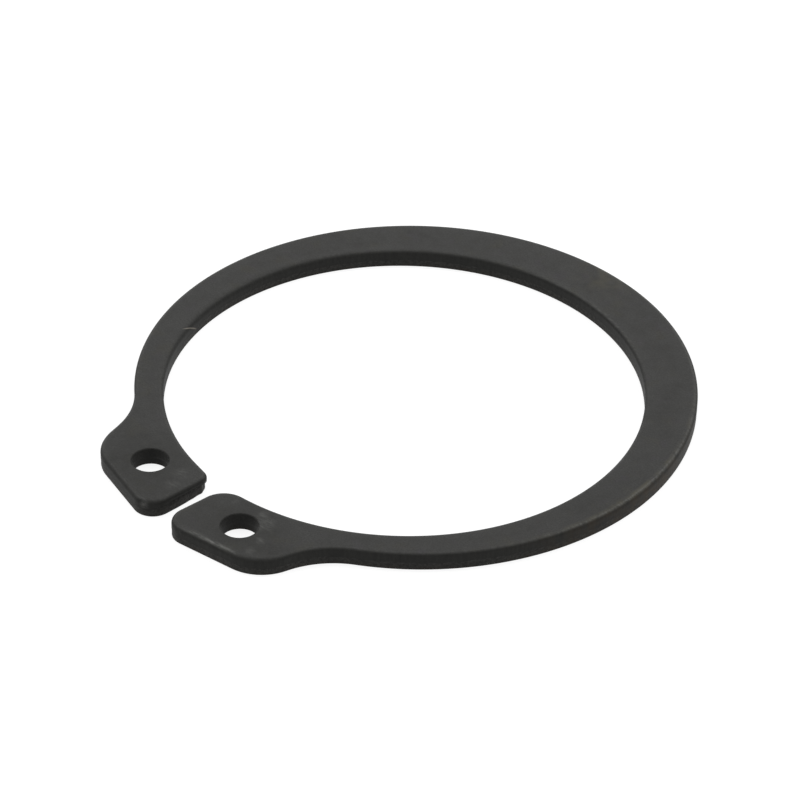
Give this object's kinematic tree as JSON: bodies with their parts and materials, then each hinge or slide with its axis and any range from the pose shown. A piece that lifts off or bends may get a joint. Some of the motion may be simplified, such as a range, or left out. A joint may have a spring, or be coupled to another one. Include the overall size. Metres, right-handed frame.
{
  "type": "external retaining ring",
  "caption": "Flat external retaining ring (circlip) that snaps into a shaft groove, with a tapering bow, an open gap and a drilled lug at each end for ring pliers.",
  "frame": {"origin": "on the shaft's axis, in the ring's lower face", "axes": "+Z along the shaft's axis towards the face with rolled edges, -Y through the gap between the lugs, X across them"},
  "size_m": [0.0522, 0.0569, 0.0018],
  "materials": {
    "ring_steel": "black phosphate and oil, satin, lightly worn"
  },
  "bodies": {
    "root": {"retaining_ring": "ring_steel"}
  },
  "joints": []
}
